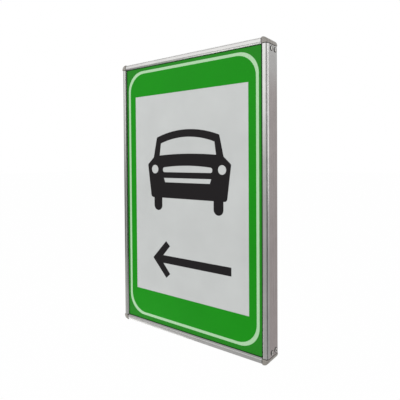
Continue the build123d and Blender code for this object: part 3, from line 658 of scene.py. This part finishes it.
def combine(mesh, other, operation):
    """Mesh with another one cut out of it or joined to it"""
    body = new_object("body", mesh_data("body", mesh))
    tool = new_object("tool", mesh_data("tool", other))
    step = body.modifiers.new("step", "BOOLEAN")
    step.operation = operation
    step.solver = "EXACT"
    step.object = tool
    shaped = body.evaluated_get(bpy.context.evaluated_depsgraph_get())
    result = bmesh.new()
    result.from_mesh(shaped.to_mesh())
    shaped.to_mesh_clear()
    for made in (body, tool):
        data = made.data
        bpy.data.objects.remove(made)
        bpy.data.meshes.remove(data)
    return result


def carve(mesh, cutter):
    """Mesh with another one cut out of it"""
    return combine(mesh, cutter, "DIFFERENCE")


def piece(name, mesh, slot, body, replaced=(), material=None, smooth=SMOOTH_ANGLE):
    """Object of a finished mesh, riding on a body in place of frame nodes"""
    data = mesh_data(name, mesh)
    data.shade_smooth()
    data.set_sharp_from_angle(angle=math.radians(smooth))
    data.materials.append(material or MATERIALS[slot])
    made = new_object(name, data)
    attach(made, body)
    if replaced:
        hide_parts(*replaced)


def side_place(side):
    """Place of one side: X outwards from the caps' face, Y back from the front, Z along the rail"""
    turn, reach = SIDES[side]
    return Matrix.Rotation(math.radians(-turn), 4, "Y") @ Matrix.Translation((reach, FRONT_Y, 0))


# Rails. Outlines are drawn as distance inwards and depth, then turned to X outwards.

def frame_outline():
    """Side wall, rounded shoulder, slot, hinge socket and two ledges in one loop"""
    centre = (RAIL_FACE + SHOULDER_R, SHOULDER_DEPTH)
    sweep = math.degrees(math.asin((SHOULDER_DEPTH - RIDGE_TIP_DEPTH) / SHOULDER_R))
    shoulder = arc(centre, SHOULDER_R, 180, 180 + sweep, steps=12)
    ridge_in = (SLOT_OUT, RIDGE_TIP_DEPTH)
    tip = softened(shoulder[-1], shoulder[-2], ridge_in, TIP_R)
    hinge = (HINGE_IN, HINGE_DEPTH)
    outer_r = SOCKET_R + SOCKET_WALL
    rim = HINGE_DEPTH + RIM_DROP
    hook = HINGE_DEPTH - HOOK_RISE
    web_back = SLOT_DEPTH + SLOT_WALL
    slot_back = SLOT_IN + SLOT_WALL
    bore_start = (HINGE_IN - math.sqrt(SOCKET_R ** 2 - RIM_DROP ** 2), rim)
    bore_stop = (HINGE_IN + math.sqrt(SOCKET_R ** 2 - HOOK_RISE ** 2), hook)
    back_start = (HINGE_IN + math.sqrt(outer_r ** 2 - HOOK_RISE ** 2), hook)
    back_stop = (slot_back, HINGE_DEPTH + math.sqrt(outer_r ** 2 - (HINGE_IN - slot_back) ** 2))
    # Both arcs pass behind the hinge, where depth is larger
    bore = arc(hinge, SOCKET_R, angle_of(bore_start, hinge), angle_of(bore_stop, hinge), steps=24)
    back = arc(hinge, outer_r, angle_of(back_start, hinge), angle_of(back_stop, hinge), steps=24)
    slot = [ridge_in, (SLOT_OUT, SLOT_DEPTH), (SLOT_IN, SLOT_DEPTH), (SLOT_IN, rim)]
    return shoulder[:-1] + tip + slot + bore + back + [
        (slot_back, web_back),
        (WALL_IN, web_back),
        (WALL_IN, FRONT_LEDGE_DEPTH),
        (LEDGE_REACH, FRONT_LEDGE_DEPTH),
        (LEDGE_REACH, FRONT_LEDGE_BACK),
        (WALL_IN, FRONT_LEDGE_BACK),
        (WALL_IN, REAR_LEDGE_DEPTH),
        (LEDGE_REACH, REAR_LEDGE_DEPTH),
        (LEDGE_REACH, REAR_LEDGE_BACK),
        (WALL_IN, REAR_LEDGE_BACK),
        (WALL_IN, DEPTH),
        (RAIL_FACE + BACK_CHAMFER, DEPTH),
        (RAIL_FACE, DEPTH - BACK_CHAMFER),
    ]


def snap_outline():
    """Hinge bead, and a lip that bends down to a foot on the face, in one loop"""
    hinge = (HINGE_IN, HINGE_DEPTH)
    centre = (LIP_CREST_IN, LIP_R)
    under_r = LIP_R - LIP_T
    top_join = circles_meet(hinge, BEAD_R, centre, LIP_R)
    under_join = circles_meet(hinge, BEAD_R, centre, under_r)
    brow = (BROW_IN, LIP_R - math.sqrt(LIP_R ** 2 - (BROW_IN - LIP_CREST_IN) ** 2))
    bend = (BEND_IN, LIP_R - math.sqrt(under_r ** 2 - (BEND_IN - LIP_CREST_IN) ** 2))
    edge = (LIP_EDGE_IN, LIP_EDGE_DEPTH)
    tip = (LIP_EDGE_IN, FOOT_DEPTH)
    # The bead's arc passes behind the hinge and round its outer side
    bead = arc(hinge, BEAD_R, angle_of(under_join, hinge), angle_of(top_join, hinge) + 360, steps=40)
    top = arc(centre, LIP_R, angle_of(top_join, centre), angle_of(brow, centre), steps=20)
    under = arc(centre, under_r, angle_of(bend, centre), angle_of(under_join, centre), steps=14)
    top = [point for point in top if point[0] < BROW_IN - BROW_R]
    slope = softened(brow, top[-1], edge, BROW_R) + softened(edge, brow, tip, TIP_R / 2)
    return bead[:-1] + top + slope + [tip, (FOOT_IN, FOOT_DEPTH)] + under[:-1]


def run(name, outline, side, node, body, joint):
    """Rail of one side in place of a node, with an open joint at both ends and draw lines along it"""
    upright = side in UPRIGHT_SIDES
    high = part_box(node)[1]
    half = (high.z if upright else high.x) - joint
    rail = prism([(-inwards, depth) for inwards, depth in outline], -half, half)
    rail.transform(side_place(side))
    finish = MATERIALS["anodised_aluminium" if upright else "anodised_level"]
    piece(name, rail, "anodised_aluminium", body, [node], finish)


def make_rails():
    """Frame rails and snap rails of the four sides"""
    for side in SIDES:
        run(f"rail_{side}", frame_outline(), side, f"frame_rail_{side}", "housing", RAIL_JOINT)
        run(f"snap_{side}_lip", snap_outline(), side, f"snap_rail_{side}", f"snap_{side}", LIP_JOINT)


# Corner caps, drawn with the sign's corner at the origin and the cap towards -X and -Z

def cap_outline(inset):
    """Outline of a cap in X and Z, with its outer edges drawn in and a bevel at both joints"""
    centre = (-CAP_CORNER_R, -CAP_CORNER_R)
    round_corner = arc(centre, CAP_CORNER_R - inset, 0, 90, steps=20)
    bevel = inset + CAP_JOINT_BEVEL
    joint = CAP_JOINT_BEVEL - CAP_SIZE
    lower = [(-CAP_SIZE, -CAP_SIZE), (-bevel, -CAP_SIZE), (-inset, joint)]
    upper = [(joint, -inset), (-CAP_SIZE, -bevel)]
    return lower + round_corner + upper


def cap_shell():
    """Cap with rounded front edges, before its pockets are cut"""
    edge = arc((CAP_EDGE_R, CAP_EDGE_R), CAP_EDGE_R, 270, 180, steps=6)
    levels = [(FRONT_Y + depth, cap_outline(inset)) for inset, depth in edge]
    return stack(levels + [(FRONT_Y + DEPTH, cap_outline(0.0))])


def cap_panel_pocket():
    """Room for the edge of the face panel"""
    far = -2 * CAP_SIZE
    low = (far, FRONT_Y + PANEL_POCKET_DEPTH, far)
    return box_mesh(low, (-PANEL_POCKET, FRONT_Y + FRONT_LEDGE_DEPTH, -PANEL_POCKET))


def cap_rear_pocket():
    """Room for the back plate and its seal, with a rounded outer corner"""
    middle = -CAP_BACK_WALL - CAP_POCKET_R
    far = -2 * CAP_SIZE
    round_corner = arc((middle, middle), CAP_POCKET_R, 0, 90, steps=16)
    outline = [(far, far), (-CAP_BACK_WALL, far)] + round_corner + [(far, -CAP_BACK_WALL)]
    return stack([(FRONT_Y + REAR_LEDGE_BACK, outline), (FRONT_Y + 2 * DEPTH, outline)])


def cap_leg():
    """Forked leg that runs down inside the rail"""
    low = FRONT_Y + FRONT_LEDGE_BACK + LEG_PLAY
    high = FRONT_Y + REAR_LEDGE_DEPTH - LEG_PLAY
    middle = FRONT_Y + sum(SIDE_SCREW_DEPTHS) / 2
    gap = FORK_WIDTH / 2
    end = CAP_SIZE + LEG_LENGTH
    root = end - FORK_LENGTH
    outline = [
        (CAP_SIZE, low), (end, low), (end, middle - gap), (root, middle - gap),
        (root, middle + gap), (end, middle + gap), (end, high), (CAP_SIZE, high),
    ]
    leg = prism(outline, LEG_IN, LEG_IN + LEG_T)
    # The outline's X runs down the rail and its Z inwards
    leg.transform(Matrix(((0, 0, -1, 0), (0, 1, 0, 0), (-1, 0, 0, 0), (0, 0, 0, 1))))
    return faced_out(leg)


def make_caps():
    """Corner caps with their pockets and legs"""
    # The second leg lies along the other rail, with X and Z changed over
    swap = Matrix(((0, 0, 1, 0), (0, 1, 0, 0), (1, 0, 0, 0), (0, 0, 0, 1)))
    for corner, (turn, sign_x, sign_z) in CORNERS.items():
        shell = carve(carve(cap_shell(), cap_panel_pocket()), cap_rear_pocket())
        place = Matrix.Translation((sign_x * HALF_WIDTH, 0, sign_z * HALF_HEIGHT))
        place = place @ Matrix.Rotation(math.radians(-turn), 4, "Y")
        mesh = faced_out(merge([(shell, [place]), (cap_leg(), [place, place @ swap])]))
        node = f"corner_cap_{corner}"
        piece(f"cap_{corner}", mesh, "cap_grey", "housing", [node], smooth=CAP_SMOOTH_ANGLE)


# Screws and rivets

def recess_blade(head_r, head_h, turn):
    """One tapered wing of a screw's cross recess, as a cutter"""
    half_width = RECESS_HALF_WIDTH * head_r
    blade = bmesh.new()
    rings = []
    for reach, height in ((RECESS_FLOOR_REACH, RECESS_FLOOR), (RECESS_TOP_REACH, RECESS_TOP)):
        half_length = reach * head_r
        corners = rectangle((-half_length, -half_width), (half_length, half_width))
        rings.append([blade.verts.new((*corner, height * head_h)) for corner in corners])
    closed(blade, rings).transform(Matrix.Rotation(math.radians(turn), 4, "Z"))
    return blade


def pan_screw(size):
    """Pan-head screw with a cross recess: head on +Z, shank along -Z"""
    r, h = size["head_r"], size["head_h"]
    shank_r, length = size["shank_r"], size["length"]
    head = dome(r, HEAD_RIM_SHARE * h, h, steps=9, power=HEAD_DOME_POWER)
    taper = POINT_LENGTH_SHARE * shank_r
    point = [(0, -length), (POINT_R_SHARE * shank_r, -length), (shank_r, taper - length)]
    body = lathe(point + [(shank_r, 0), (r, 0)] + head)
    for turn in (0, 90):
        body = carve(body, recess_blade(r, h, turn))
    return body


def screw_turn(number):
    """Turn of one screw about its axis, different from its neighbours'"""
    return Matrix.Rotation(math.radians(SCREW_TURN * (number * SCREW_JUMP % SCREW_CYCLE)), 4, "Z")


def side_screw_places():
    """Places of the screws near both ends of each rail, head outwards, each turned its own way"""
    places = []
    for side in SIDES:
        along = (HALF_HEIGHT if side in UPRIGHT_SIDES else HALF_WIDTH) - SIDE_SCREW_FROM_END
        for end in (-1, 1):
            for depth in SIDE_SCREW_DEPTHS:
                place = side_place(side) @ Matrix.Translation((-RAIL_FACE, depth, end * along))
                places.append(place @ Matrix.Rotation(math.pi / 2, 4, "Y") @ screw_turn(len(places)))
    return places


def plate_screw_places():
    """Places of the screws round the back plate, head to the back"""
    side_x = HALF_WIDTH - PLATE_SCREW_IN
    end_z = HALF_HEIGHT - PLATE_SCREW_IN
    rises = (-PLATE_SCREW_RISE, 0, PLATE_SCREW_RISE)
    spots = [(sign * side_x, rise) for sign in (-1, 1) for rise in rises]
    spots += [(0, -end_z), (0, end_z)]
    back = Matrix.Rotation(-math.pi / 2, 4, "X")
    return [
        Matrix.Translation((x, FRONT_Y + PLATE_BACK, z)) @ back @ screw_turn(number)
        for number, (x, z) in enumerate(spots)
    ]


def rivet():
    """Rivet with a domed head on +Z and a shank to the bar's back face"""
    shank = PLATE_FRONT - DEPTH
    head = dome(RIVET_HEAD_R, 0.0, RIVET_HEAD_H, steps=6)
    return lathe([(0, shank), (RIVET_R, shank), (RIVET_R, 0)] + head, segments=24)


def rivet_places():
    """Places of the rivets, head to the front on the back plate's inner face"""
    front = Matrix.Rotation(math.pi / 2, 4, "X")
    return [
        Matrix.Translation((x, FRONT_Y + PLATE_FRONT, sign * RIVET_Z)) @ front
        for sign in (-1, 1)
        for x in RIVET_X
    ]


def make_screws():
    """Screws on the rails' sides with their dark rings of painted shade, and screws and rivets at the back
    """
    places = side_screw_places()
    screws = merge([(pan_screw(SIDE_SCREW), places)])
    piece("side_screws", screws, "screw_steel", "housing", ["corner_screws"])
    # Dark ring under each side screw: painted shade round its head
    ring_soft = RING_SOFTNESS * SIDE_SHADE_RING_T
    seal = rounded_ring(SIDE_SCREW["shank_r"], SIDE_SHADE_RING_R, 0.0, SIDE_SHADE_RING_T, ring_soft)
    piece("side_screw_shade_rings", merge([(seal, places)]), "foam_rubber", "housing")
    screws = merge([(pan_screw(PLATE_SCREW), plate_screw_places())])
    piece("plate_screws", screws, "screw_steel", "housing", ["back_plate_screws"])
    rivets = merge([(rivet(), rivet_places())])
    piece("bar_rivets", rivets, "plate_aluminium", "housing", ["mount_rivets"])


# Cable gland, drawn with Z pointing down out of the bottom rail

def hexagon(low, high):
    """Hexagon across the gland's flats between two heights, with softened rims"""
    levels = ((low, GLAND_SOFT), (low + GLAND_SOFT, 0.0), (high - GLAND_SOFT, 0.0), (high, GLAND_SOFT))
    profile = [((GLAND_FLATS / 2 - inset) / math.cos(math.pi / 6), height) for height, inset in levels]
    mesh = bmesh.new()
    return closed(mesh, turned(mesh, profile, segments=6))


def gland_body():
    """Threaded stem with a hexagon collar and a bore"""
    root_r = GLAND_THREAD_R - THREAD_DEPTH
    stem = [(0, -GLAND_STEM_IN)]
    for number in range(int(GLAND_STEM_IN / THREAD_PITCH)):
        foot = -GLAND_STEM_IN + number * THREAD_PITCH
        stem += [(root_r, foot), (GLAND_THREAD_R, foot + THREAD_PITCH / 2)]
    stem += [(root_r, 0), (root_r, GLAND_WASHER_T)]
    stem += [(GLAND_STEM_R, GLAND_HEX_TOP), (GLAND_STEM_R, GLAND_STEM_TOP), (0, GLAND_STEM_TOP)]
    body = combine(lathe(stem), hexagon(GLAND_WASHER_T, GLAND_HEX_TOP), "UNION")
    low, high = -2 * GLAND_STEM_IN, 2 * GLAND_TOP
    return carve(body, lathe([(0, low), (GLAND_BORE_R, low), (GLAND_BORE_R, high), (0, high)]))


def gland_nut():
    """Dome nut: a hexagon that runs out in a round dome, with a stepped bore"""
    rim_r = GLAND_FLATS / 2 - GLAND_SOFT
    foot = GLAND_DOME_LOW - GLAND_SOFT
    crown = dome(rim_r, GLAND_DOME_LOW, GLAND_TOP, steps=8, top_r=GLAND_DOME_TOP_R)
    domed = lathe([(0, foot), (rim_r, foot)] + crown + [(0, GLAND_TOP)])
    stem_r = GLAND_STEM_R + GLAND_PLAY
    seal_r = GLAND_SEAL_R + GLAND_PLAY
    bore = lathe([
        (0, 0), (stem_r, 0), (stem_r, GLAND_STEM_TOP), (seal_r, GLAND_STEM_TOP), (seal_r, GLAND_SEAL_HIGH),
        (GLAND_EXIT_R, GLAND_SEAL_HIGH), (GLAND_EXIT_R, 2 * GLAND_TOP), (0, 2 * GLAND_TOP),
    ])
    return carve(combine(hexagon(GLAND_HEX_TOP, GLAND_DOME_LOW), domed, "UNION"), bore)


def make_gland():
    """Body, washer, dome nut and rubber seal"""
    place = Matrix.Translation(GLAND_PLACE) @ Matrix.Rotation(math.pi, 4, "X")
    washer_soft = RING_SOFTNESS * GLAND_WASHER_T
    washer = rounded_ring(GLAND_THREAD_R, GLAND_WASHER_R, 0.0, GLAND_WASHER_T, washer_soft)
    seal = rounded_ring(CABLE_R, GLAND_SEAL_R, GLAND_STEM_TOP, GLAND_SEAL_HIGH, GLAND_SOFT)
    for name, mesh, slot, node in (
        ("gland_collar", gland_body(), "black_plastic", "gland_body"),
        ("gland_dome", gland_nut(), "black_plastic", "gland_nut"),
        ("gland_flat_ring", washer, "foam_rubber", "gland_washer"),
        ("gland_rubber", seal, "foam_rubber", "gland_seal"),
    ):
        mesh.transform(place)
        piece(name, mesh, slot, "housing", [node])


# Frame nodes

def dress_nodes():
    """Slot material on every frame node"""
    for row in frame["record"]["subparts"]:
        data = frame["nodes"][row["node"]].data
        data.materials.clear()
        data.materials.append(MATERIALS[row["material_slot"]])


# Stage

def seen_directly(tree):
    """1 for rays that show the stage: camera, glossy and transmission rays"""
    rays = add_node(tree, "LightPath").outputs
    seen = rays["Is Camera Ray"]
    for kind in ("Is Glossy Ray", "Is Transmission Ray"):
        seen = arithmetic(tree, "Math", "MAXIMUM", seen, rays[kind]).outputs["Value"]
    return seen


def mix_shaders(tree, output, share, first, second):
    """Output of a tree that goes from one shader to another by a share"""
    mix = add_node(tree, "MixShader", Fac=share)
    tree.links.new(first, mix.inputs[1])
    tree.links.new(second, mix.inputs[2])
    add_node(tree, output, Surface=mix.outputs["Shader"])


def stage_sheet(name, size, height=0.0):
    """Flat sheet of the stage, with a material whose tree is empty"""
    half_x, half_y = size[0] / 2, size[1] / 2
    corners = rectangle((-half_x, -half_y), (half_x, half_y))
    mesh = bmesh.new()
    mesh.faces.new([mesh.verts.new((*corner, height)) for corner in corners])
    made = new_object(name, mesh_data(name, mesh))
    material = bpy.data.materials.new(name)
    material.use_nodes = True
    material.node_tree.nodes.clear()
    made.data.materials.append(material)
    return made


def make_floor():
    """Plain pale floor well below the wall sign"""
    tree = stage_sheet("floor", (FLOOR_SIZE, FLOOR_SIZE), FLOOR_Z).active_material.node_tree
    pale = add_node(tree, "BsdfDiffuse", Color=opaque(FLOOR_PALE)).outputs["BSDF"]
    white = add_node(tree, "Emission", Color=opaque(WHITE), Strength=1.0).outputs["Emission"]
    share = arithmetic(tree, "Math", "MULTIPLY", seen_directly(tree), FLOOR_WHITE_SHARE).outputs["Value"]
    mix_shaders(tree, "OutputMaterial", share, pale, white)


def make_world():
    """White background, and an even light from all round"""
    world = bpy.data.worlds.new("studio")
    bpy.context.scene.world = world
    world.use_nodes = True
    tree = world.node_tree
    tree.nodes.clear()
    soft = add_node(tree, "Background", Color=opaque(WHITE), Strength=ROOM_LIGHT).outputs["Background"]
    white = add_node(tree, "Background", Color=opaque(WHITE), Strength=1.0).outputs["Background"]
    mix_shaders(tree, "OutputWorld", seen_directly(tree), soft, white)


def face_sign(made, azimuth, elevation, distance):
    """Put a lamp or card in its place and turn it to the sign"""
    a, e = math.radians(azimuth), math.radians(elevation)
    direction = Vector((math.sin(a) * math.cos(e), -math.cos(a) * math.cos(e), math.sin(e)))
    made.location = direction * distance
    made.rotation_euler = direction.to_track_quat("Z", "Y").to_euler()


def softbox(name, at, size, power):
    """Area lamp that looks at the sign"""
    light = bpy.data.lights.new(name, "AREA")
    light.shape = "RECTANGLE"
    light.size, light.size_y = size
    light.energy = power
    lamp = new_object(name, light)
    lamp.visible_camera = False
    face_sign(lamp, *at)


def card(name, at, size, tone):
    """Card of one tone that only reflections show"""
    made = stage_sheet(name, size)
    tree = made.active_material.node_tree
    plain = add_node(tree, "Emission", Color=opaque(tone), Strength=1.0)
    add_node(tree, "OutputMaterial", Surface=plain.outputs["Emission"])
    made.visible_camera = False
    made.visible_diffuse = False
    made.visible_shadow = False
    face_sign(made, *at)


def make_lights():
    """Lamps and reflection cards"""
    for name, setting in LAMPS.items():
        softbox(name, **setting)
    for name, setting in CARDS.items():
        card(name, **setting)


def make_camera():
    """Camera at the photograph's angle"""
    data = bpy.data.cameras.new("camera")
    data.sensor_fit = "HORIZONTAL"
    data.sensor_width = SENSOR_WIDTH
    data.lens = SENSOR_WIDTH * FOCAL_PIXELS / IMAGE_SIZE
    data.shift_x = (IMAGE_SIZE / 2 - OPTICAL_CENTRE[0]) / IMAGE_SIZE
    data.shift_y = (OPTICAL_CENTRE[1] - IMAGE_SIZE / 2) / IMAGE_SIZE
    camera = new_object("camera", data)
    turn = Matrix.Rotation(math.radians(CAMERA_YAW), 4, "Z")
    tilt = Matrix.Rotation(math.radians(90 - CAMERA_DOWN), 4, "X")
    roll = Matrix.Rotation(math.radians(CAMERA_ROLL), 4, "Z")
    camera.matrix_world = Matrix.Translation(CAMERA_PLACE) @ turn @ tilt @ roll
    bpy.context.scene.camera = camera


dress_nodes()
make_rails()
make_caps()
make_screws()
make_gland()
make_floor()
make_world()
make_lights()
make_camera()
bpy.context.scene.view_settings.view_transform = "Standard"
